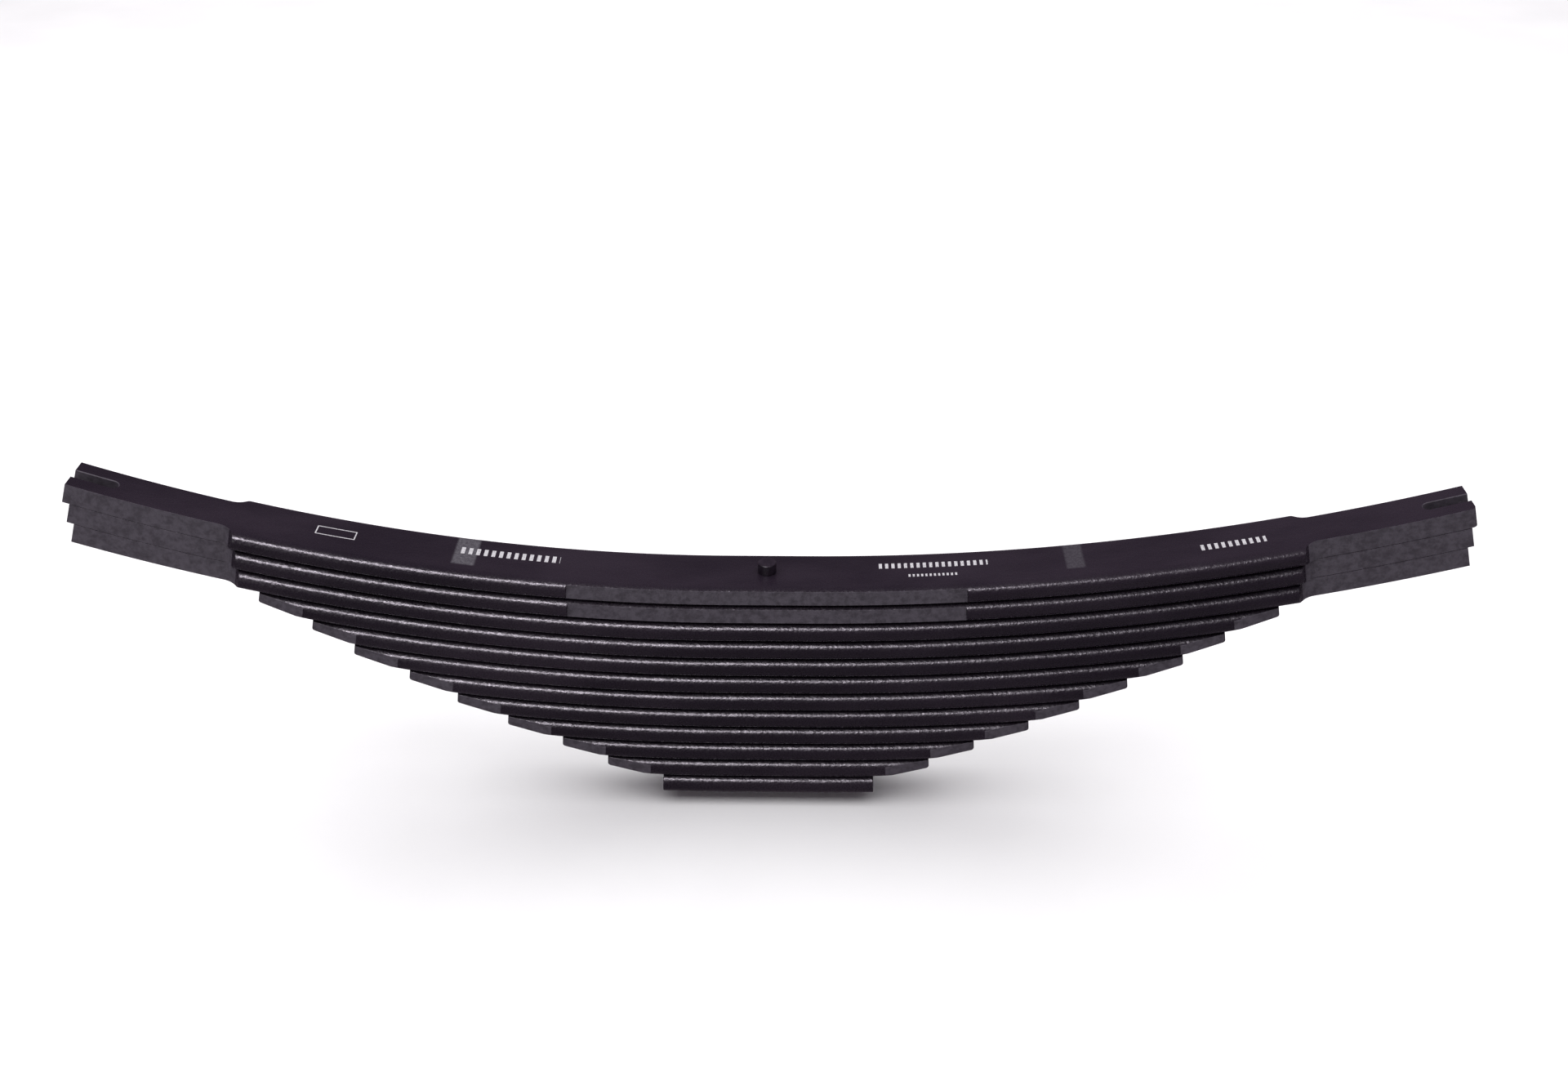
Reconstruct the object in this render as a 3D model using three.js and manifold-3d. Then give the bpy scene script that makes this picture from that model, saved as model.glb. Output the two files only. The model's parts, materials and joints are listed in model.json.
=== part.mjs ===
// Heavy-duty truck leaf spring: twelve flat leaves nested on one centre bolt.
// Units are millimetres, +Z up, +X along the leaves, +Y across their width.
// The origin is the middle of the bottom leaf's underside, on the centre bolt's axis.

import * as THREE from "three";
import { mergeVertices } from "three/addons/utils/BufferGeometryUtils.js";
import Module from "manifold-3d";

const wasm = await Module();
wasm.setup();

// ---- Driving dimensions -------------------------------------------------------------------

const LEAF_WIDTH = 90;
const LEAF_THICKNESS = 25;
const LEAF_GAP = 0.4;
const LEAF_PITCH = LEAF_THICKNESS + LEAF_GAP;

// The clamp land at the centre is flat. Each arm then follows one arc, given at the main leaf.
const LAND_HALF_LENGTH = 45;
const LEFT_ARM_RADIUS = 2340;
const RIGHT_ARM_RADIUS = 2800;

// Half lengths along each leaf, from the centre bolt to the tip.
const FULL_HALF_LENGTH = 825;
const GRADUATED_HALF_LENGTHS = [609, 549, 502, 438, 382, 322, 256, 201];
const BOTTOM_HALF_LENGTH = 132;

// The three long leaves have their ends milled narrower to enter the axle seat.
const MILLED_END_WIDTH = 54;
const MILLED_FLAT_START = 647;
const CUTTER_RADIUS = 21;

// An open slot in each end of the main leaf takes the axle seat's locating lug.
const SLOT_WIDTH = 15;
const SLOT_LENGTH = 53;

// The two top leaves are milled on both sides where the saddle's cheeks hold them.
const CENTRE_FLAT_WIDTH = 82;
const CENTRE_FLAT_HALF_LENGTH = 236;
const SHOULDER_LENGTH = 1;

// The graduated leaves are trimmed to a narrower tip, and their undersides taper up to it.
const TRIMMED_TIP_WIDTH = 76;
const TRIM_LENGTH = 63;
const TIP_CORNER_RADIUS = 4;
const TIP_THICKNESS = 13;
const TAPER_LENGTH = 82;

// Centre bolt and nut.
const BOLT_RADIUS = 8;
const BOLT_HOLE_RADIUS = 8.5;
const BOLT_HEAD_RADIUS = 11;
const BOLT_HEAD_HEIGHT = 13;
const BOLT_HEAD_CHAMFER = 1.5;
const BOLT_END_BELOW_NUT = 3;
const BOLT_END_CHAMFER = 1.5;
const BOLT_SIDES = 16;
const NUT_ACROSS_FLATS = 24;
const NUT_HEIGHT = 13;
const NUT_BORE_RADIUS = 8.3;
const FIT_GAP = 0.3;

// Facets.
const EDGE_FACETS = 4;
const STATION_SPACING = 40;
const CUTTER_STEPS = 5;
const CORNER_STEPS = 3;

const LEAF_COUNT = 3 + GRADUATED_HALF_LENGTHS.length + 1;
const EDGE_RADIUS = LEAF_THICKNESS / 2;
const PACK_TOP = LEAF_COUNT * LEAF_THICKNESS + (LEAF_COUNT - 1) * LEAF_GAP;

// ---- Materials ----------------------------------------------------------------------------

function paintedSteel(name) {
  const material = new THREE.MeshStandardMaterial({ color: 0x1d1a1f, roughness: 0.42, metalness: 0.1 });
  material.name = name;
  return material;
}

function darkFastenerSteel(name) {
  const material = new THREE.MeshStandardMaterial({ color: 0x17161a, roughness: 0.35, metalness: 0.4 });
  material.name = name;
  return material;
}

// ---- The curve that every leaf follows ----------------------------------------------------

// Returns a function that places (s, y, n) on leaf number `order`, counted from the top: s runs
// along the leaf's middle, y across it, and n is the height above its middle.
function leafCurve(order) {
  const middle = LEAF_THICKNESS / 2 + (LEAF_COUNT - 1 - order) * LEAF_PITCH;
  return (s, y, n) => {
    const armRadius = (s < 0 ? LEFT_ARM_RADIUS : RIGHT_ARM_RADIUS) + order * LEAF_PITCH;
    const side = Math.sign(s);
    const angle = Math.max(Math.abs(s) - LAND_HALF_LENGTH, 0) / armRadius;
    const reach = Math.min(Math.abs(s), LAND_HALF_LENGTH) + (armRadius - n) * Math.sin(angle);
    const height = middle + armRadius - (armRadius - n) * Math.cos(angle);
    return new THREE.Vector3(side * reach, y, height);
  };
}

// ---- Plan shapes: half width at a distance s from the bolt ---------------------------------

// The side cutter leaves a concave run-out where the milled end meets the full width.
function milledEndHalfWidth(distance) {
  const half = MILLED_END_WIDTH / 2;
  const back = Math.max(MILLED_FLAT_START - distance, 0);
  if (back >= CUTTER_RADIUS) return LEAF_WIDTH / 2;
  const lift = CUTTER_RADIUS - Math.sqrt(CUTTER_RADIUS ** 2 - back ** 2);
  return Math.min(half + lift, LEAF_WIDTH / 2);
}

function cutterRunOutLength() {
  const depth = (LEAF_WIDTH - MILLED_END_WIDTH) / 2;
  return Math.sqrt(CUTTER_RADIUS ** 2 - (CUTTER_RADIUS - depth) ** 2);
}

// A straight trim down to the tip, where a rounded corner draws the side in further.
function trimmedEndHalfWidth(fromTip) {
  const share = Math.min(fromTip / TRIM_LENGTH, 1);
  const half = (TRIMMED_TIP_WIDTH + (LEAF_WIDTH - TRIMMED_TIP_WIDTH) * share) / 2;
  const intoCorner = Math.max(TIP_CORNER_RADIUS - fromTip, 0);
  return half - TIP_CORNER_RADIUS + Math.sqrt(TIP_CORNER_RADIUS ** 2 - intoCorner ** 2);
}

function halfWidthAt(leaf, s) {
  const distance = Math.abs(s);
  if (leaf.centreFlats && distance <= CENTRE_FLAT_HALF_LENGTH) return CENTRE_FLAT_WIDTH / 2;
  if (leaf.ends === "milled") return milledEndHalfWidth(distance);
  if (leaf.ends === "trimmed") return trimmedEndHalfWidth(leaf.halfLength - distance);
  return LEAF_WIDTH / 2;
}

// How far the tapered underside has risen above the full leaf's.
function undersideRise(leaf, s) {
  if (leaf.ends !== "trimmed") return 0;
  const fromTip = leaf.halfLength - Math.abs(s);
  return (LEAF_THICKNESS - TIP_THICKNESS) * Math.max(1 - fromTip / TAPER_LENGTH, 0);
}

// ---- Stations along a leaf ------------------------------------------------------------------

function evenly(from, to, count) {
  return Array.from({ length: count + 1 }, (_, i) => from + ((to - from) * i) / count);
}

function spaced(from, to) {
  return evenly(from, to, Math.max(1, Math.round((to - from) / STATION_SPACING)));
}

function stationsFor(leaf) {
  const marks = [0, LAND_HALF_LENGTH];
  if (leaf.centreFlats) marks.push(CENTRE_FLAT_HALF_LENGTH, CENTRE_FLAT_HALF_LENGTH + SHOULDER_LENGTH);
  if (leaf.ends === "milled") marks.push(MILLED_FLAT_START - cutterRunOutLength(), MILLED_FLAT_START);
  if (leaf.ends === "trimmed") {
    marks.push(leaf.halfLength - TAPER_LENGTH, leaf.halfLength - TRIM_LENGTH);
    marks.push(leaf.halfLength - TIP_CORNER_RADIUS);
  }
  marks.push(leaf.halfLength);
  const arm = new Set();
  for (let i = 1; i < marks.length; i += 1) {
    const isRunOut = leaf.ends === "milled" && marks[i] === MILLED_FLAT_START;
    const isCorner = leaf.ends === "trimmed" && marks[i] === leaf.halfLength;
    let stretch = spaced(marks[i - 1], marks[i]);
    if (isRunOut) stretch = evenly(marks[i - 1], marks[i], CUTTER_STEPS);
    if (isCorner) stretch = evenly(marks[i - 1], marks[i], CORNER_STEPS);
    stretch.forEach((s) => arm.add(s));
  }
  const right = [...arm].sort((a, b) => a - b);
  const left = right.filter((s) => s > 0).map((s) => -s).reverse();
  return [...left, ...right];
}

// ---- Leaf bodies -----------------------------------------------------------------------------

// The rolled bar's section: flat faces with full-round edges, cut off at the half width and
// at the risen underside.
function barSection(halfWidth, rise) {
  const flatHalf = LEAF_WIDTH / 2 - EDGE_RADIUS;
  const underside = rise - EDGE_RADIUS;
  const cutHeight = Math.sqrt(EDGE_RADIUS ** 2 - Math.max(halfWidth - flatHalf, 0) ** 2);
  const points = [];
  for (const side of [1, -1]) {
    for (let i = 0; i <= EDGE_FACETS; i += 1) {
      const angle = side * (-Math.PI / 2 + (Math.PI * i) / EDGE_FACETS);
      let y = flatHalf + EDGE_RADIUS * Math.cos(angle);
      let n = EDGE_RADIUS * Math.sin(angle);
      if (y > halfWidth) {
        y = halfWidth;
        if (halfWidth > flatHalf) n = Math.sign(n) * cutHeight;
      }
      if (n < underside) {
        n = underside;
        if (y > flatHalf + 0.01) y = Math.min(flatHalf + Math.sqrt(EDGE_RADIUS ** 2 - n ** 2), halfWidth);
      }
      points.push([side * y, n]);
    }
  }
  return points;
}

function loftLeaf(leaf, order) {
  const place = leafCurve(order);
  const stations = stationsFor(leaf);
  const positions = [];
  const triangles = [];
  for (const s of stations) {
    const ring = barSection(halfWidthAt(leaf, s), undersideRise(leaf, s));
    for (const [y, n] of ring) positions.push(...place(s, y, n).toArray());
  }
  const ringSize = 2 * (EDGE_FACETS + 1);
  for (let i = 0; i + 1 < stations.length; i += 1) {
    for (let j = 0; j < ringSize; j += 1) {
      const a = i * ringSize + j;
      const b = i * ringSize + ((j + 1) % ringSize);
      triangles.push(a, b, a + ringSize, b, b + ringSize, a + ringSize);
    }
  }
  for (const end of [0, stations.length - 1]) {
    const centre = positions.length / 3;
    positions.push(...place(stations[end], 0, undersideRise(leaf, stations[end]) / 2).toArray());
    for (let j = 0; j < ringSize; j += 1) {
      const a = end * ringSize + j;
      const b = end * ringSize + ((j + 1) % ringSize);
      if (end === 0) triangles.push(centre, b, a);
      else triangles.push(centre, a, b);
    }
  }
  const geometry = new THREE.BufferGeometry();
  geometry.setAttribute("position", new THREE.Float32BufferAttribute(positions, 3));
  geometry.setIndex(triangles);
  return geometry;
}

// ---- Boolean cuts ------------------------------------------------------------------------------

function toSolid(geometry) {
  const bare = geometry.clone();
  bare.deleteAttribute("normal");
  bare.deleteAttribute("uv");
  const merged = mergeVertices(bare);
  return new wasm.Manifold(new wasm.Mesh({
    numProp: 3,
    vertProperties: new Float32Array(merged.attributes.position.array),
    triVerts: new Uint32Array(merged.index.array),
  }));
}

function toGeometry(solid) {
  const mesh = solid.getMesh();
  const geometry = new THREE.BufferGeometry();
  geometry.setAttribute("position", new THREE.BufferAttribute(new Float32Array(mesh.vertProperties), 3));
  geometry.setIndex(new THREE.BufferAttribute(new Uint32Array(mesh.triVerts), 1));
  return geometry;
}

function boltHoleCutter() {
  const length = PACK_TOP + 2 * LEAF_THICKNESS;
  const cutter = new THREE.CylinderGeometry(BOLT_HOLE_RADIUS, BOLT_HOLE_RADIUS, length, BOLT_SIDES);
  cutter.rotateX(Math.PI / 2);
  cutter.translate(0, 0, PACK_TOP / 2);
  return cutter;
}

// A slot open at the tip, with a round inner end, lined up with the leaf's slope there.
function endSlotCutter(order, side) {
  const round = SLOT_WIDTH / 2;
  const outline = new THREE.Shape();
  outline.moveTo(SLOT_LENGTH, -round);
  outline.lineTo(SLOT_LENGTH, round);
  outline.lineTo(round - SLOT_LENGTH, round);
  outline.absarc(round - SLOT_LENGTH, 0, round, Math.PI / 2, (3 * Math.PI) / 2, false);
  outline.closePath();
  const cutter = new THREE.ExtrudeGeometry(outline, {
    depth: 2 * LEAF_THICKNESS,
    bevelEnabled: false,
    curveSegments: 5,
  });
  cutter.translate(0, 0, -LEAF_THICKNESS);
  if (side < 0) cutter.rotateZ(Math.PI);
  const place = leafCurve(order);
  const tip = place(side * FULL_HALF_LENGTH, 0, 0);
  const inner = place(side * (FULL_HALF_LENGTH - SLOT_LENGTH), 0, 0);
  const slope = Math.atan2(tip.z - inner.z, tip.x - inner.x);
  cutter.rotateY(side > 0 ? -slope : Math.PI - slope);
  cutter.translate(tip.x, tip.y, tip.z);
  return cutter;
}

function leafGeometry(leaf, order) {
  let solid = toSolid(loftLeaf(leaf, order)).subtract(toSolid(boltHoleCutter()));
  if (leaf.endSlots) {
    for (const side of [-1, 1]) solid = solid.subtract(toSolid(endSlotCutter(order, side)));
  }
  return toGeometry(solid);
}

// ---- Fasteners ---------------------------------------------------------------------------------

function centreBoltGeometry() {
  const headBase = PACK_TOP + FIT_GAP;
  const headTop = headBase + BOLT_HEAD_HEIGHT;
  const end = -(FIT_GAP + NUT_HEIGHT + BOLT_END_BELOW_NUT);
  const profile = [
    new THREE.Vector2(0, end),
    new THREE.Vector2(BOLT_RADIUS - BOLT_END_CHAMFER, end),
    new THREE.Vector2(BOLT_RADIUS, end + BOLT_END_CHAMFER),
    new THREE.Vector2(BOLT_RADIUS, headBase),
    new THREE.Vector2(BOLT_HEAD_RADIUS, headBase),
    new THREE.Vector2(BOLT_HEAD_RADIUS, headTop - BOLT_HEAD_CHAMFER),
    new THREE.Vector2(BOLT_HEAD_RADIUS - BOLT_HEAD_CHAMFER, headTop),
    new THREE.Vector2(0, headTop),
  ];
  const bolt = new THREE.LatheGeometry(profile, BOLT_SIDES);
  bolt.rotateX(Math.PI / 2);
  return bolt;
}

function centreNutGeometry() {
  const corner = NUT_ACROSS_FLATS / 2 / Math.cos(Math.PI / 6);
  const hexagon = new THREE.Shape();
  for (let i = 0; i < 6; i += 1) {
    const angle = (i * Math.PI) / 3;
    const point = [corner * Math.cos(angle), corner * Math.sin(angle)];
    if (i === 0) hexagon.moveTo(...point);
    else hexagon.lineTo(...point);
  }
  hexagon.closePath();
  const bore = new THREE.Path();
  bore.absarc(0, 0, NUT_BORE_RADIUS, 0, 2 * Math.PI, true);
  hexagon.holes.push(bore);
  const nut = new THREE.ExtrudeGeometry(hexagon, {
    depth: NUT_HEIGHT,
    bevelEnabled: false,
    curveSegments: BOLT_SIDES,
  });
  nut.translate(0, 0, -FIT_GAP - NUT_HEIGHT);
  return nut;
}

// ---- Assembly ------------------------------------------------------------------------------------

const longLeaf = { halfLength: FULL_HALF_LENGTH, ends: "milled" };
const leaves = [
  { ...longLeaf, name: "main_leaf", centreFlats: true, endSlots: true },
  { ...longLeaf, name: "second_leaf", centreFlats: true },
  { ...longLeaf, name: "third_leaf" },
  ...GRADUATED_HALF_LENGTHS.map((halfLength, i) => ({
    name: `graduated_leaf_${i + 4}`,
    halfLength,
    ends: "trimmed",
  })),
  { name: "bottom_leaf", halfLength: BOTTOM_HALF_LENGTH, ends: "plain" },
];

const spring = new THREE.Group();
spring.name = "leaf_spring";

leaves.forEach((leaf, order) => {
  const mesh = new THREE.Mesh(leafGeometry(leaf, order), paintedSteel(`${leaf.name}_paint`));
  mesh.name = leaf.name;
  spring.add(mesh);
});

const centreBolt = new THREE.Mesh(centreBoltGeometry(), darkFastenerSteel("centre_bolt_steel"));
centreBolt.name = "centre_bolt";
spring.add(centreBolt);

const centreNut = new THREE.Mesh(centreNutGeometry(), darkFastenerSteel("centre_nut_steel"));
centreNut.name = "centre_nut";
spring.add(centreNut);

export default spring;
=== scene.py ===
# Twelve-leaf truck spring: the finished surfaces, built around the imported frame.
# Units are metres, +Z up, +X along the leaves, -Y towards the viewer.

import json
import math

import bmesh
import bpy
from mathutils import Matrix, Vector


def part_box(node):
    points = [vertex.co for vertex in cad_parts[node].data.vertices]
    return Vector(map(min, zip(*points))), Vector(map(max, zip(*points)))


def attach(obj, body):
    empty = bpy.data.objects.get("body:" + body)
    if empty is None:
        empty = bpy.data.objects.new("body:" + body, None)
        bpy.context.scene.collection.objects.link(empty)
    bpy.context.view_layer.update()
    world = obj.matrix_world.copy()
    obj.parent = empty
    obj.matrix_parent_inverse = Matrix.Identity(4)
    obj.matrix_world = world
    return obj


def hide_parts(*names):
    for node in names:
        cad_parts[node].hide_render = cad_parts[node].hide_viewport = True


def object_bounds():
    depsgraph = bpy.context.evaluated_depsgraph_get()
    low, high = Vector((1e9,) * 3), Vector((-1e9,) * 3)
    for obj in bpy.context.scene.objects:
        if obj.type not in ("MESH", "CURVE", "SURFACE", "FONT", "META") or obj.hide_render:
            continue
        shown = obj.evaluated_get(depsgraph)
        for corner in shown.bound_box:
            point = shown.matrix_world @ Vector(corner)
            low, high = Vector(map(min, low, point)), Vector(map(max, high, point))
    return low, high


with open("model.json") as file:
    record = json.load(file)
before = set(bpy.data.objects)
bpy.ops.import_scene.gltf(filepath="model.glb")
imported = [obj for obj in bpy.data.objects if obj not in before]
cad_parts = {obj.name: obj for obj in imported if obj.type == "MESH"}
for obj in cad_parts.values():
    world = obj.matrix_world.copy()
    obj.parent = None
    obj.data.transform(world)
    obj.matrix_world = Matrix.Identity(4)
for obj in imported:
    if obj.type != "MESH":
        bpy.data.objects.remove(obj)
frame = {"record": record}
cad_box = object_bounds()

# ---- Driving values -----------------------------------------------------------------------------

LEAVES = ["main_leaf", "second_leaf", "third_leaf"]
LEAVES += [f"graduated_leaf_{number}" for number in range(4, 12)]
LEAVES += ["bottom_leaf"]
MILLED_LEAVES = LEAVES[:3]
FLATTED_LEAVES = LEAVES[:2]
TRIMMED_LEAVES = LEAVES[3:11]
SLOTTED_LEAF = LEAVES[0]

LEAF_THICKNESS = 0.025
EDGE_RADIUS = LEAF_THICKNESS / 2
LAND_HALF_LENGTH = 0.045
ARM_RADIUS = {-1: 2.340, 1: 2.800}

MILLED_HALF_WIDTH = 0.027
MILLED_FLAT_START = 0.647
CUTTER_RADIUS = 0.021
CENTRE_FLAT_HALF_WIDTH = 0.041
CENTRE_FLAT_HALF_LENGTH = 0.236
SHOULDER_LENGTH = 0.001
TRIMMED_HALF_WIDTH = 0.038
TRIM_LENGTH = 0.063
TIP_CORNER_RADIUS = 0.004
TIP_THICKNESS = 0.013
TAPER_LENGTH = 0.082
SLOT_WIDTH = 0.015
SLOT_LENGTH = 0.053
BOLT_HOLE_RADIUS = 0.0085
BOLT_RADIUS = 0.008
WORN_PRONG_RADIUS = 0.006

SHARP_CORNER = 0.0004
SHEARED_CORNER = 0.0011
CHAMFER = 0.0008
CUTTER_OVERRUN = CHAMFER * 4

# A face counts as cut when it faces well sideways, close to a side that is drawn in enough.
SIDEWAYS = 0.7
FACE_TOLERANCE = 0.0006
LEAST_CUT_DEPTH = 0.0008

SECTION_STEPS = 12
TIP_STEPS = 4
STATION_SPACING = 0.008
FINE_SPACING = 0.0016
CORNER_SPACING = 0.0005
SLOT_STEPS = 6
SLOT_OVERRUN = 0.010

FULL_HALF_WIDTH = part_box("third_leaf")[1].y
PACK_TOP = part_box("main_leaf")[0].z + LEAF_THICKNESS


def body_of_node(node):
    """The frame's body that a CAD node belongs to."""
    bodies = frame["record"]["behaviour"]["bodies"]
    return next(body for body, members in bodies.items() if node in members)


# ---- The curve that every leaf follows ----------------------------------------------------------


class Leaf:
    """One leaf's place in the pack, read from its CAD box."""

    def __init__(self, node):
        low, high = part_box(node)
        order = LEAVES.index(node)
        pitch = (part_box(LEAVES[0])[0].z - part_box(LEAVES[-1])[0].z) / (len(LEAVES) - 1)
        self.node = node
        self.middle = low.z + EDGE_RADIUS
        self.radius = {side: ARM_RADIUS[side] + order * pitch for side in (-1, 1)}
        self.taper = LEAF_THICKNESS - TIP_THICKNESS if node in TRIMMED_LEAVES else 0
        self.half_length = {-1: self.along(low.x, -1), 1: self.along(high.x, 1)}
        self.corner = SHARP_CORNER if node in MILLED_LEAVES else SHEARED_CORNER

    def along(self, x, side):
        """Length along the leaf out to its tip, whose lower corner is at x."""
        outer = self.radius[side] + EDGE_RADIUS - self.taper
        angle = math.asin((abs(x) - LAND_HALF_LENGTH) / outer)
        return LAND_HALF_LENGTH + angle * self.radius[side]

    def point(self, s, y, n):
        """The point at s along the leaf, y across it and n above its middle."""
        side = -1 if s < 0 else 1
        radius = self.radius[side]
        angle = max(abs(s) - LAND_HALF_LENGTH, 0) / radius
        reach = min(abs(s), LAND_HALF_LENGTH) + (radius - n) * math.sin(angle)
        height = self.middle + radius - (radius - n) * math.cos(angle)
        return Vector((side * reach, y, height))

    def coordinates(self, point):
        """The (s, y, n) of a point: point() undone."""
        side = -1 if point.x < 0 else 1
        reach = abs(point.x) - LAND_HALF_LENGTH
        if reach <= 0:
            return point.x, point.y, point.z - self.middle
        radius = self.radius[side]
        drop = self.middle + radius - point.z
        s = LAND_HALF_LENGTH + math.atan2(reach, drop) * radius
        return side * s, point.y, radius - math.hypot(reach, drop)

    def half_width(self, s, front):
        """Half the leaf's width at s, on its front or rear side."""
        distance = abs(s)
        from_tip = self.half_length[-1 if s < 0 else 1] - distance
        if self.node in FLATTED_LEAVES:
            past_flat = (distance - CENTRE_FLAT_HALF_LENGTH) / SHOULDER_LENGTH
            if past_flat < 1:
                step = FULL_HALF_WIDTH - CENTRE_FLAT_HALF_WIDTH
                return CENTRE_FLAT_HALF_WIDTH + step * max(past_flat, 0)
        if self.node in MILLED_LEAVES:
            half = milled_half_width(distance)
            if self.node == SLOTTED_LEAF and front and s > 0:
                half -= round_corner(from_tip, WORN_PRONG_RADIUS)
            return half
        if self.node in TRIMMED_LEAVES:
            share = min(max(from_tip / TRIM_LENGTH, 0), 1)
            half = TRIMMED_HALF_WIDTH + (FULL_HALF_WIDTH - TRIMMED_HALF_WIDTH) * share
            return half - round_corner(from_tip, TIP_CORNER_RADIUS)
        return FULL_HALF_WIDTH

    def depth(self, s):
        """How far the underside is below the leaf's middle at s."""
        from_tip = self.half_length[-1 if s < 0 else 1] - abs(s)
        return EDGE_RADIUS - self.taper * min(max(1 - from_tip / TAPER_LENGTH, 0), 1)

    def marks(self, side):
        """Distances from the bolt where the leaf's shape changes, out to the tip."""
        tip = self.half_length[side]
        places = [0, LAND_HALF_LENGTH, tip]
        if self.node in FLATTED_LEAVES:
            places += [CENTRE_FLAT_HALF_LENGTH, CENTRE_FLAT_HALF_LENGTH + SHOULDER_LENGTH]
        if self.node in MILLED_LEAVES:
            places += [MILLED_FLAT_START - run_out_length(), MILLED_FLAT_START]
            places += [tip - WORN_PRONG_RADIUS]
        if self.node in TRIMMED_LEAVES:
            places += [tip - TAPER_LENGTH, tip - TRIM_LENGTH, tip - TIP_CORNER_RADIUS]
        return sorted(places)


def milled_half_width(distance):
    """The milled end, with the concave run-out that the side cutter leaves."""
    back = max(MILLED_FLAT_START - distance, 0)
    if back >= CUTTER_RADIUS:
        return FULL_HALF_WIDTH
    lift = CUTTER_RADIUS - math.sqrt(CUTTER_RADIUS**2 - back**2)
    return min(MILLED_HALF_WIDTH + lift, FULL_HALF_WIDTH)


def run_out_length():
    depth = FULL_HALF_WIDTH - MILLED_HALF_WIDTH
    return math.sqrt(CUTTER_RADIUS**2 - (CUTTER_RADIUS - depth) ** 2)


def round_corner(from_tip, radius):
    """How far a rounded corner draws the side in, at a distance from the tip."""
    into = radius - min(max(from_tip, 0), radius)
    return radius - math.sqrt(radius**2 - into**2)


# ---- Lofting a leaf -----------------------------------------------------------------------------


def quarter_point(half, depth, corner, grow, angle):
    """A point of the rolled section's quarter with y and n positive.

    The section is a bar with full-round edges, cut off at the half width and at the depth. It
    is drawn as an inner shape, grown outwards by up to the corner radius, so cut corners come
    out rounded.
    """
    inner = EDGE_RADIUS - corner
    flat = FULL_HALF_WIDTH - EDGE_RADIUS
    y_limit, n_limit = half - corner, depth - corner
    y, n = flat + inner * math.cos(angle), inner * math.sin(angle)
    if y > y_limit:
        y, n = y_limit, math.sqrt(max(inner**2 - max(y_limit - flat, 0) ** 2, 0))
    if n > n_limit:
        y, n = min(flat + math.sqrt(max(inner**2 - n_limit**2, 0)), y_limit), n_limit
    return y + grow * math.cos(angle), n + grow * math.sin(angle)


def section(leaf, s, grow):
    """The ring of (y, n) points round the leaf at s, from the front's middle over the top."""
    steps = [math.pi / 2 * i / SECTION_STEPS for i in range(SECTION_STEPS + 1)]
    front = leaf.half_width(s, True)
    rear = leaf.half_width(s, False)
    below = leaf.depth(s)
    ring = []
    for half, depth, y_sign, n_sign, angles in (
        (front, EDGE_RADIUS, -1, 1, steps),
        (rear, EDGE_RADIUS, 1, 1, steps[::-1]),
        (rear, below, 1, -1, steps),
        (front, below, -1, -1, steps[::-1]),
    ):
        for angle in angles:
            y, n = quarter_point(half, depth, leaf.corner, grow, angle)
            ring.append((y_sign * y, n_sign * n))
    return ring


def arm_stations(leaf, side):
    """(s, growth) of each ring on one arm, from the bolt to the rounded tip."""
    places = leaf.marks(side)
    tip = places[-1]
    found = []
    for start, end in zip(places, places[1:]):
        last = min(end, tip - leaf.corner)
        spacing = STATION_SPACING
        if end - start < 2 * CUTTER_RADIUS and start > LAND_HALF_LENGTH:
            spacing = FINE_SPACING
        if end == tip and end - start < 2 * WORN_PRONG_RADIUS:
            spacing = CORNER_SPACING
        count = max(1, round((last - start) / spacing))
        found += [(start + (last - start) * i / count, leaf.corner) for i in range(count)]
    for i in range(TIP_STEPS + 1):
        turn = math.pi / 2 * i / TIP_STEPS
        back = leaf.corner * (1 - math.sin(turn))
        found.append((tip - back, leaf.corner * math.cos(turn)))
    return [(side * s, grow) for s, grow in found]


def loft(rings):
    """A closed mesh through rings of points, with a flat cap on each end."""
    mesh = bmesh.new()
    rows = [[mesh.verts.new(point) for point in ring] for ring in rings]
    size = len(rows[0])
    for near, far in zip(rows, rows[1:]):
        for i in range(size):
            j = (i + 1) % size
            mesh.faces.new((near[i], near[j], far[j], far[i]))
    mesh.faces.new(rows[0][::-1])
    mesh.faces.new(rows[-1])
    bmesh.ops.remove_doubles(mesh, verts=mesh.verts, dist=2e-6)
    bmesh.ops.dissolve_degenerate(mesh, edges=mesh.edges, dist=1e-6)
    bmesh.ops.recalc_face_normals(mesh, faces=mesh.faces)
    return mesh


def leaf_rings(leaf):
    stations = arm_stations(leaf, -1)[::-1] + arm_stations(leaf, 1)[1:]
    return [[leaf.point(s, y, n) for y, n in section(leaf, s, grow)] for s, grow in stations]


def to_object(mesh, name):
    data = bpy.data.meshes.new(name)
    mesh.to_mesh(data)
    mesh.free()
    made = bpy.data.objects.new(name, data)
    bpy.context.scene.collection.objects.link(made)
    return made


# ---- Holes and slots ----------------------------------------------------------------------------


def cutter_levels():
    """(n, flare) of a cutter's rings: straight through the leaf, chamfering both faces."""
    beyond = EDGE_RADIUS + CUTTER_OVERRUN
    inside = EDGE_RADIUS - CHAMFER
    flare = CHAMFER + CUTTER_OVERRUN
    return [(-beyond, flare), (-inside, 0), (inside, 0), (beyond, flare)]


def hole_rings(leaf):
    """A bolt hole cutter with a light chamfer on both faces of the leaf."""
    sides = 4 * SECTION_STEPS
    turns = [2 * math.pi * i / sides for i in range(sides)]
    rings = []
    for n, flare in cutter_levels():
        radius = BOLT_HOLE_RADIUS + flare
        rings.append([leaf.point(0, 0, n) + radius * unit(turn) for turn in turns])
    return rings


def unit(turn):
    return Vector((math.cos(turn), math.sin(turn), 0))


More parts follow.
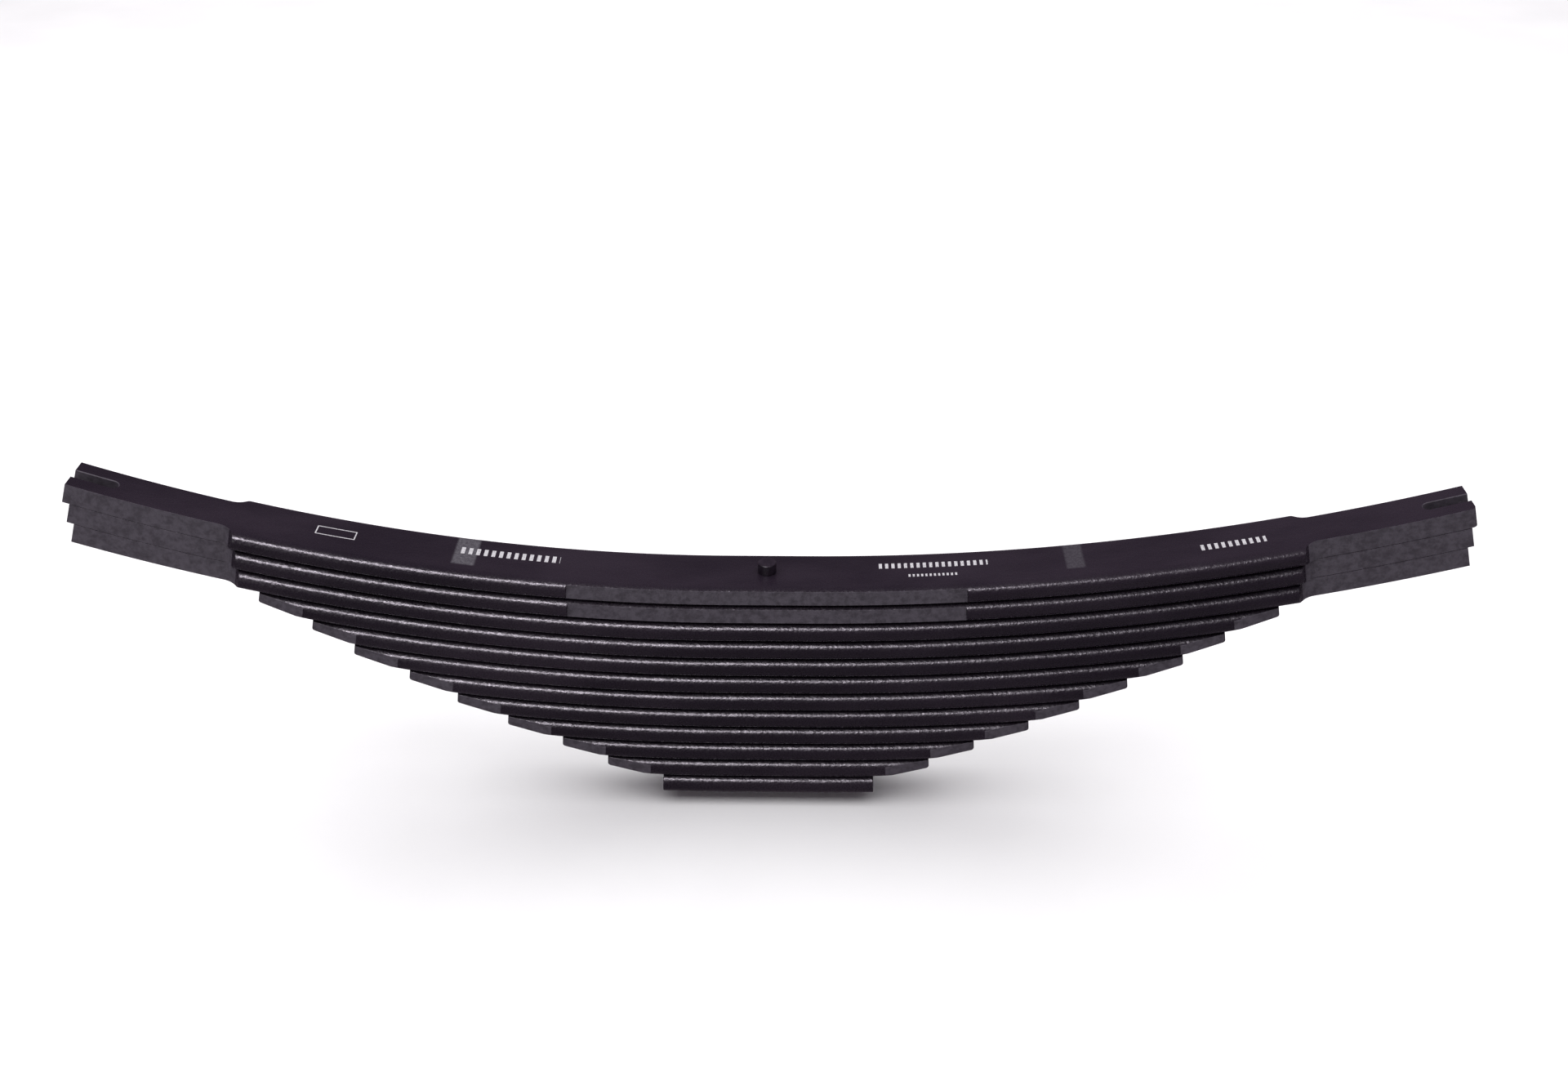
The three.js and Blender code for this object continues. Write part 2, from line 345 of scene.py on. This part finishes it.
def slot_rings(leaf, side):
    """An end slot cutter: open at the tip, round at its inner end, chamfered at both faces."""
    tip = leaf.half_length[side]
    centre = tip - SLOT_LENGTH + SLOT_WIDTH / 2
    reach = tip + SLOT_OVERRUN - centre
    straights = [centre + reach * i / SLOT_STEPS for i in range(1, SLOT_STEPS + 1)]
    rings = []
    for n, flare in cutter_levels():
        radius = SLOT_WIDTH / 2 + flare
        plan = [(s, radius) for s in straights[::-1]]
        for i in range(2 * SECTION_STEPS + 1):
            turn = math.pi / 2 + math.pi * i / (2 * SECTION_STEPS)
            plan.append((centre + radius * math.cos(turn), radius * math.sin(turn)))
        plan += [(s, -radius) for s in straights]
        rings.append([leaf.point(side * s, y, n) for s, y in plan])
    return rings


def cut(made, cutters):
    """Takes each cutter's rings out of an object, and leaves no modifier behind."""
    joined = bmesh.new()
    for rings in cutters:
        data = bpy.data.meshes.new("cutter")
        mesh = loft(rings)
        mesh.to_mesh(data)
        mesh.free()
        joined.from_mesh(data)
        bpy.data.meshes.remove(data)
    cutter = to_object(joined, "cutter")
    modifier = made.modifiers.new("cut", "BOOLEAN")
    modifier.operation = "DIFFERENCE"
    modifier.solver = "EXACT"
    modifier.object = cutter
    graph = bpy.context.evaluated_depsgraph_get()
    result = bpy.data.meshes.new_from_object(made.evaluated_get(graph))
    made.modifiers.clear()
    made.data = result
    bpy.data.objects.remove(cutter)


# ---- Which faces were cut after rolling ---------------------------------------------------------


def is_cut_face(leaf, centre, normal):
    """True on milled and sheared faces, which are flatter and lighter than the rolled skin."""
    s, y, n = leaf.coordinates(centre)
    from_tip = leaf.half_length[-1 if s < 0 else 1] - abs(s)
    half = leaf.half_width(s, y < 0)
    on_side = abs(normal.y) > SIDEWAYS and abs(y) > half - FACE_TOLERANCE
    if on_side and half < FULL_HALF_WIDTH - LEAST_CUT_DEPTH:
        return True
    if from_tip < FACE_TOLERANCE and abs(normal.z) < SIDEWAYS:
        return True
    in_slot = abs(y) < SLOT_WIDTH / 2 + CHAMFER and from_tip < SLOT_LENGTH + CHAMFER
    return leaf.node == SLOTTED_LEAF and in_slot and abs(n) < EDGE_RADIUS - 0.0001


def mark_faces(made, leaf):
    """Stores each face's 'cut' and 'top' values for the paint material."""
    polygons = made.data.polygons
    cut_faces = made.data.attributes.new("cut", "FLOAT", "FACE")
    top_faces = made.data.attributes.new("top", "FLOAT", "FACE")
    for i, face in enumerate(polygons):
        cut_faces.data[i].value = float(is_cut_face(leaf, face.center, face.normal))
        top_faces.data[i].value = float(face.normal.z > SIDEWAYS)


def smooth(made, sharp_angle=35):
    """Smooth shading that keeps flat faces flat and sharp edges sharp."""
    made.data.shade_smooth()
    made.data.set_sharp_from_angle(angle=math.radians(sharp_angle))
    modifier = made.modifiers.new("flat_faces", "WEIGHTED_NORMAL")
    modifier.mode = "FACE_AREA"
    modifier.keep_sharp = True


# ---- Material building --------------------------------------------------------------------------


class Shader:
    """A small helper that wires one procedural material."""

    def __init__(self, name):
        self.material = bpy.data.materials.new(name)
        self.material.use_nodes = True
        self.tree = self.material.node_tree
        self.tree.nodes.clear()
        self.surface = self.tree.nodes.new("ShaderNodeBsdfPrincipled")
        output = self.tree.nodes.new("ShaderNodeOutputMaterial")
        self.tree.links.new(self.surface.outputs[0], output.inputs[0])
        self.place = self.tree.nodes.new("ShaderNodeTexCoord").outputs["Object"]
        split = self.tree.nodes.new("ShaderNodeSeparateXYZ")
        self.tree.links.new(self.place, split.inputs[0])
        self.x, self.y, self.z = split.outputs

    def put(self, value, socket):
        """Feeds a socket from another socket or from a plain value."""
        if isinstance(value, bpy.types.NodeSocket):
            self.tree.links.new(value, socket)
        else:
            socket.default_value = value

    def math(self, operation, a, b=0.0):
        node = self.tree.nodes.new("ShaderNodeMath")
        node.operation = operation
        for value, socket in zip((a, b), node.inputs):
            self.put(value, socket)
        return node.outputs[0]

    def noise(self, scale, detail=2.0, roughness=0.5, stretch=(1, 1, 1)):
        """Noise from 0 to 1, in the piece's own coordinates; stretch lengthens its grain."""
        mapping = self.tree.nodes.new("ShaderNodeMapping")
        mapping.inputs["Scale"].default_value = [1 / length for length in stretch]
        self.tree.links.new(self.place, mapping.inputs[0])
        node = self.tree.nodes.new("ShaderNodeTexNoise")
        node.inputs["Scale"].default_value = scale
        node.inputs["Detail"].default_value = detail
        node.inputs["Roughness"].default_value = roughness
        self.tree.links.new(mapping.outputs[0], node.inputs["Vector"])
        return node.outputs["Fac"]

    def ramp(self, value, low, high, out_low=0.0, out_high=1.0):
        """A smooth step from low to high."""
        node = self.tree.nodes.new("ShaderNodeMapRange")
        node.interpolation_type = "SMOOTHSTEP"
        for socket, number in zip(node.inputs, (value, low, high, out_low, out_high)):
            self.put(number, socket)
        return node.outputs[0]

    def mix(self, share, a, b):
        """A colour or a number part of the way from a to b."""
        node = self.tree.nodes.new("ShaderNodeMix")
        number = isinstance(a, (int, float)) or getattr(a, "type", "") == "VALUE"
        node.data_type = "FLOAT" if number else "RGBA"
        first = 2 if number else 6
        self.put(share, node.inputs[0])
        self.put(a, node.inputs[first])
        self.put(b, node.inputs[first + 1])
        return node.outputs[0 if number else 2]

    def attribute(self, name):
        node = self.tree.nodes.new("ShaderNodeAttribute")
        node.attribute_name = name
        return node.outputs["Fac"]

    def box_mask(self, centre, size, soft=0.0):
        """1 inside a rectangle on the leaf's plan, fading over soft metres at its sides."""
        mask = None
        for value, middle, extent in zip((self.x, self.y), centre, size):
            offset = self.math("ABSOLUTE", self.math("SUBTRACT", value, middle))
            if soft:
                side = self.ramp(offset, extent / 2 + soft, extent / 2)
            else:
                side = self.math("LESS_THAN", offset, extent / 2)
            mask = side if mask is None else self.math("MULTIPLY", mask, side)
        return mask

    def bump(self, height, distance, strength=1.0, normal=None):
        node = self.tree.nodes.new("ShaderNodeBump")
        node.inputs["Strength"].default_value = strength
        node.inputs["Distance"].default_value = distance
        self.put(height, node.inputs["Height"])
        if normal is not None:
            self.put(normal, node.inputs["Normal"])
        return node.outputs[0]

    def finish(self, colour, roughness, normal, specular):
        self.put(colour, self.surface.inputs["Base Color"])
        self.put(roughness, self.surface.inputs["Roughness"])
        self.put(normal, self.surface.inputs["Normal"])
        self.surface.inputs["Specular IOR Level"].default_value = specular
        return self.material


# ---- Paint --------------------------------------------------------------------------------------

PAINT = (0.0090, 0.0058, 0.0108, 1)
DUSTY_PAINT = (0.0170, 0.0118, 0.0190, 1)
CUT_FACE_PAINT = (0.066, 0.057, 0.073, 1)
CUT_FACE_DARK = (0.036, 0.030, 0.040, 1)
GREY_PATCH_PAINT = (0.120, 0.115, 0.130, 1)
MARK_WHITE = (0.46, 0.45, 0.47, 1)
PAINT_ROUGHNESS = (0.22, 0.34)
CUT_FACE_ROUGHNESS = 0.62
MARK_ROUGHNESS = 0.6
LEAF_SPECULAR = 0.30
FASTENER_SPECULAR = 0.4
PEENING_HEIGHT = 0.0004
RIPPLE_HEIGHT = 0.0003
RIPPLE_STRENGTH = 0.7

# Lighter grey patches on the main leaf's top face: centre x, centre y, length, width, strength.
GREY_PATCHES = [
    (-0.3590, 0.0133, 0.022, 0.068, 0.75),
    (0.3644, 0.0120, 0.017, 0.054, 0.35),
]
GREY_PATCH_FADE = 0.004

# Plain rows of equal dashes stand where a spring carries its stencilled marks:
# centre x, centre y, length, height, dash pitch.
DASH_ROWS = [
    (-0.3063, 0.0081, 0.1175, 0.0140, 0.0090),
    (0.1981, 0.0111, 0.1295, 0.0110, 0.0075),
    (0.1977, -0.0115, 0.0598, 0.0055, 0.0050),
    (0.5473, -0.0043, 0.0743, 0.0120, 0.0079),
]
DASH_SHARE = 0.5
BADGE = (-0.511, 0.0045, 0.046, 0.018)
BADGE_LINE = 0.0014


def dash_row(shader, row):
    centre_x, centre_y, length, height, pitch = row
    inside = shader.box_mask((centre_x, centre_y), (length, height))
    along = shader.math("DIVIDE", shader.math("SUBTRACT", shader.x, centre_x - length / 2), pitch)
    dash = shader.math("LESS_THAN", shader.math("FRACT", along), DASH_SHARE)
    return shader.math("MULTIPLY", inside, dash)


def badge_outline(shader):
    """A plain rectangle's outline."""
    outer = shader.box_mask(BADGE[:2], BADGE[2:])
    inner_size = (BADGE[2] - 2 * BADGE_LINE, BADGE[3] - 2 * BADGE_LINE)
    inner = shader.box_mask(BADGE[:2], inner_size)
    return shader.math("SUBTRACT", outer, inner)


def printed_marks(shader, top):
    """1 on the badge and the dashes, chipped a little by the peened skin."""
    marks = badge_outline(shader)
    for row in DASH_ROWS:
        marks = shader.math("MAXIMUM", marks, dash_row(shader, row))
    chipped = shader.ramp(shader.noise(900, 2, 0.5), 0.3, 0.42)
    return shader.math("MULTIPLY", shader.math("MULTIPLY", marks, top), chipped)


def with_grey_patches(shader, colour, top):
    """The paint's colour with lighter grey patches laid over it on the top face, uneven through
    noise.
    """
    for x, y, length, width, share in GREY_PATCHES:
        patch = shader.box_mask((x, y), (length, width), GREY_PATCH_FADE)
        patchiness = shader.ramp(shader.noise(300, 4, 0.7), 0.25, 0.75, 0.35, 1)
        patch = shader.math("MULTIPLY", shader.math("MULTIPLY", patch, patchiness), share)
        # Lighter grey patches, on the top face only.
        colour = shader.mix(shader.math("MULTIPLY", patch, top), colour, GREY_PATCH_PAINT)
    return colour


def leaf_paint(with_marks):
    """Black dipped paint on a shot-peened bar, lighter and duller on the cut faces."""
    shader = Shader("main_leaf_paint" if with_marks else "leaf_paint")
    cut_face = shader.attribute("cut")
    blotches = shader.ramp(shader.noise(7, 4, 0.6, (2.5, 1, 1)), 0.38, 0.68)
    grain = shader.noise(420, 3, 0.6)
    peening = shader.noise(260, 2, 0.5)
    ripple = shader.noise(70, 2, 0.5)
    mottle = shader.ramp(shader.noise(130, 4, 0.65), 0.35, 0.7)
    colour = shader.mix(blotches, PAINT, DUSTY_PAINT)
    cut_colour = shader.mix(mottle, CUT_FACE_PAINT, CUT_FACE_DARK)
    colour = shader.mix(cut_face, colour, cut_colour)
    roughness = shader.ramp(grain, 0.3, 0.7, *PAINT_ROUGHNESS)
    roughness = shader.mix(cut_face, roughness, CUT_FACE_ROUGHNESS)
    if with_marks:
        top = shader.attribute("top")
        colour = with_grey_patches(shader, colour, top)
        marks = printed_marks(shader, top)
        colour = shader.mix(marks, colour, MARK_WHITE)
        roughness = shader.mix(marks, roughness, MARK_ROUGHNESS)
    skin = shader.bump(peening, PEENING_HEIGHT)
    normal = shader.bump(ripple, RIPPLE_HEIGHT, RIPPLE_STRENGTH, skin)
    return shader.finish(colour, roughness, normal, LEAF_SPECULAR)


def fastener_paint():
    """The same black on the bolt and nut, with a finer skin."""
    shader = Shader("fastener_paint")
    colour = shader.mix(shader.ramp(shader.noise(90, 4, 0.6), 0.35, 0.7), PAINT, DUSTY_PAINT)
    roughness = shader.ramp(shader.noise(300, 3, 0.6), 0.3, 0.7, 0.28, 0.42)
    normal = shader.bump(shader.noise(500, 2, 0.5), 0.0002)
    return shader.finish(colour, roughness, normal, FASTENER_SPECULAR)


# ---- Leaves -------------------------------------------------------------------------------------

plain_paint = leaf_paint(False)
marked_paint = leaf_paint(True)

for node in LEAVES:
    leaf = Leaf(node)
    piece = to_object(loft(leaf_rings(leaf)), f"painted_{node}")
    cutters = [hole_rings(leaf)]
    if node == SLOTTED_LEAF:
        cutters += [slot_rings(leaf, side) for side in (-1, 1)]
    cut(piece, cutters)
    mark_faces(piece, leaf)
    smooth(piece)
    piece.data.materials.clear()
    piece.data.materials.append(marked_paint if node == SLOTTED_LEAF else plain_paint)
    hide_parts(node)
    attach(piece, body_of_node(node))

# ---- Centre bolt and nut ------------------------------------------------------------------------

ROUND_STEPS = 72
THREAD_PITCH = 0.002
THREAD_DEPTH = 0.0011
THREAD_ROWS = 6
THREADED_LENGTH = 0.038
THREAD_START = 0.0008
THREAD_FADE = 0.001
BOLT_END_CHAMFER = 0.0015
AXIS_RADIUS = 0.0002
UNDER_HEAD_CORNER = 0.0004
HEAD_EDGE = 0.0016
HEAD_EDGE_STEPS = 6
HEAD_GAP = 0.0003
NUT_CROWN_SHARE = 0.955
NUT_CHAMFER = 0.001
NUT_SLOPE = math.tan(math.radians(30))
NUT_BORE_PLAY = 0.0001

bolt_low, bolt_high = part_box("centre_bolt")
nut_low, nut_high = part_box("centre_nut")
HEAD_RADIUS = bolt_high.x
HEAD_BASE = PACK_TOP + HEAD_GAP


def revolve(profile):
    """A closed mesh turned from (radius, z) points; a radius may depend on the turn."""
    rings = []
    for radius, z in profile:
        turns = [2 * math.pi * i / ROUND_STEPS for i in range(ROUND_STEPS)]
        radii = [radius(turn, z) if callable(radius) else radius for turn in turns]
        rings.append([reach * unit(turn) + Vector((0, 0, z)) for reach, turn in zip(radii, turns)])
    return loft(rings)


def thread_radius(turn, z):
    """A right-hand vee thread that fades out at both ends of the threaded length."""
    phase = (z / THREAD_PITCH - turn / (2 * math.pi)) % 1
    groove = 1 - abs(2 * phase - 1)
    from_end = z - bolt_low.z
    fade = min(max((from_end - THREAD_START) / THREAD_FADE, 0), 1)
    fade *= min(max((THREADED_LENGTH - from_end) / THREAD_PITCH, 0), 1)
    end_chamfer = max(BOLT_END_CHAMFER - from_end, 0)
    return BOLT_RADIUS - THREAD_DEPTH * groove * fade - end_chamfer


def bolt_profile():
    """(radius, z) up the bolt: thread, shank and round head with a rounded rim."""
    rows = round(THREADED_LENGTH / THREAD_PITCH * THREAD_ROWS)
    profile = [(AXIS_RADIUS, bolt_low.z), (BOLT_RADIUS * 0.5, bolt_low.z)]
    profile += [(thread_radius, bolt_low.z + THREADED_LENGTH * i / rows) for i in range(rows + 1)]
    profile += [(BOLT_RADIUS, HEAD_BASE), (HEAD_RADIUS - UNDER_HEAD_CORNER, HEAD_BASE)]
    profile += [(HEAD_RADIUS, HEAD_BASE + UNDER_HEAD_CORNER)]
    for i in range(HEAD_EDGE_STEPS + 1):
        turn = math.pi / 2 * i / HEAD_EDGE_STEPS
        inset = HEAD_EDGE * (1 - math.cos(turn))
        profile.append((HEAD_RADIUS - inset, bolt_high.z - HEAD_EDGE * (1 - math.sin(turn))))
    profile += [(HEAD_RADIUS * 0.5, bolt_high.z), (AXIS_RADIUS, bolt_high.z)]
    return profile


def hexagon_radius(turn):
    """Distance from the axis to the nut's flat at a turn; a corner points along +X."""
    across_flats = nut_high.y - nut_low.y
    within = (turn % (math.pi / 3)) - math.pi / 6
    return across_flats / 2 / math.cos(within)


def nut_mesh():
    """A hexagon nut whose faces are turned to 30 degree cones, with a chamfered bore."""
    crown = (nut_high.y - nut_low.y) / 2 * NUT_CROWN_SHARE
    bore = BOLT_RADIUS + NUT_BORE_PLAY
    mouth = bore + NUT_CHAMFER

    def ring(radius_at, z_at):
        turns = [2 * math.pi * i / ROUND_STEPS for i in range(ROUND_STEPS)]
        return [radius_at(t) * unit(t) + Vector((0, 0, z_at(t))) for t in turns]

    def drop(turn):
        return (hexagon_radius(turn) - crown) * NUT_SLOPE

    rings = [
        ring(lambda t: bore, lambda t: nut_low.z + NUT_CHAMFER),
        ring(lambda t: mouth, lambda t: nut_low.z),
        ring(lambda t: crown, lambda t: nut_low.z),
        ring(hexagon_radius, lambda t: nut_low.z + drop(t)),
        ring(hexagon_radius, lambda t: nut_high.z - drop(t)),
        ring(lambda t: crown, lambda t: nut_high.z),
        ring(lambda t: mouth, lambda t: nut_high.z),
        ring(lambda t: bore, lambda t: nut_high.z - NUT_CHAMFER),
    ]
    mesh = bmesh.new()
    rows = [[mesh.verts.new(point) for point in row] for row in rings]
    for near, far in zip(rows, rows[1:] + rows[:1]):
        for i in range(ROUND_STEPS):
            j = (i + 1) % ROUND_STEPS
            mesh.faces.new((near[i], near[j], far[j], far[i]))
    bmesh.ops.recalc_face_normals(mesh, faces=mesh.faces)
    return mesh


steel = fastener_paint()
for node, mesh in (("centre_bolt", revolve(bolt_profile())), ("centre_nut", nut_mesh())):
    piece = to_object(mesh, f"painted_{node}")
    smooth(piece, 28)
    piece.data.materials.append(steel)
    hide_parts(node)
    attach(piece, body_of_node(node))

# ---- Floor, light and camera --------------------------------------------------------------------

FLOOR_GAP = 0.0002
FLOOR_SIZE = 16
FLOOR_TONES = ((0.86, 0.86, 0.865, 1), (0.90, 0.90, 0.905, 1))
WORLD_COLOUR = (1.0, 0.84, 1.0, 1)
WORLD_STRENGTH = 0.16
STRIP_TINT = (0.97, 0.89, 1.0)
STRIP_Y, STRIP_Z = -1.62, 2.14
EDGES_Y, EDGES_Z = -0.04, 0.2
STRIP_HEIGHT = 0.3

# Name, x of its middle, length and power of each strip.
STRIPS = [("key_strip", -0.65, 1.3, 84), ("weak_strip", 0.18, 0.35, 9)]

floor_mesh = bmesh.new()
bmesh.ops.create_grid(floor_mesh, x_segments=2, y_segments=2, size=FLOOR_SIZE / 2)
floor = to_object(floor_mesh, "floor")
floor.location.z = cad_box[0].z - FLOOR_GAP
floor_shader = Shader("pale_floor")
floor_tone = floor_shader.ramp(floor_shader.noise(3, 3), 0.3, 0.7)
floor.data.materials.append(
    floor_shader.finish(
        floor_shader.mix(floor_tone, *FLOOR_TONES),
        0.9,
        floor_shader.bump(floor_shader.noise(40, 3), 0.0005),
        0.1,
    )
)

world = bpy.data.worlds.new("soft_studio")
world.use_nodes = True
background = world.node_tree.nodes["Background"]
background.inputs["Color"].default_value = WORLD_COLOUR
background.inputs["Strength"].default_value = WORLD_STRENGTH
bpy.context.scene.world = world


def softbox(name, place, target, width, height, power, colour=(1, 1, 1)):
    """A rectangular studio light at place, facing target."""
    data = bpy.data.lights.new(name, "AREA")
    data.shape = "RECTANGLE"
    data.size, data.size_y = width, height
    data.energy = power
    data.color = colour
    light = bpy.data.objects.new(name, data)
    bpy.context.scene.collection.objects.link(light)
    light.location = place
    light.rotation_mode = "QUATERNION"
    light.rotation_quaternion = (Vector(target) - Vector(place)).to_track_quat("-Z", "Y")
    light.visible_camera = False
    return light


# The strips draw the crisp lines on the rolled edges, each point mirroring the strip at about
# its own x, and light nothing else.
for name, x, length, power in STRIPS:
    aim = (x, EDGES_Y, EDGES_Z)
    strip = softbox(name, (x, STRIP_Y, STRIP_Z), aim, length, STRIP_HEIGHT, power, STRIP_TINT)
    strip.visible_diffuse = False

softbox("front_fill", (-1.9, -2.6, 0.9), (-0.3, 0, 0.2), 1.4, 0.8, 10)

# The overhead light and the floor only fill, so that the black paint mirrors neither.
overhead = softbox("overhead", (0, 1.2, 4.2), (0, 1.2, 0), 9.0, 9.0, 560)
overhead.visible_glossy = False
floor.visible_glossy = False

CAMERA_PLACE = Vector((0.0534, -1.7812, 1.4015))
CAMERA_AZIMUTH = math.radians(1.069)
CAMERA_ELEVATION = math.radians(30.629)
CAMERA_ROLL = math.radians(-0.180)
CAMERA_LENS = 40.27

ahead = Vector((
    -math.sin(CAMERA_AZIMUTH) * math.cos(CAMERA_ELEVATION),
    math.cos(CAMERA_AZIMUTH) * math.cos(CAMERA_ELEVATION),
    -math.sin(CAMERA_ELEVATION),
))
level = Vector((math.cos(CAMERA_AZIMUTH), math.sin(CAMERA_AZIMUTH), 0))
upright = level.cross(ahead)
right = math.cos(CAMERA_ROLL) * level + math.sin(CAMERA_ROLL) * upright
up = math.cos(CAMERA_ROLL) * upright - math.sin(CAMERA_ROLL) * level

camera_data = bpy.data.cameras.new("camera")
camera_data.lens = CAMERA_LENS
camera_data.sensor_width = 36
camera = bpy.data.objects.new("camera", camera_data)
bpy.context.scene.collection.objects.link(camera)
turn = Matrix((right, up, -ahead)).transposed().to_4x4()
camera.matrix_world = Matrix.Translation(CAMERA_PLACE) @ turn
bpy.context.scene.camera = camera
bpy.context.scene.view_settings.view_transform = "Standard"
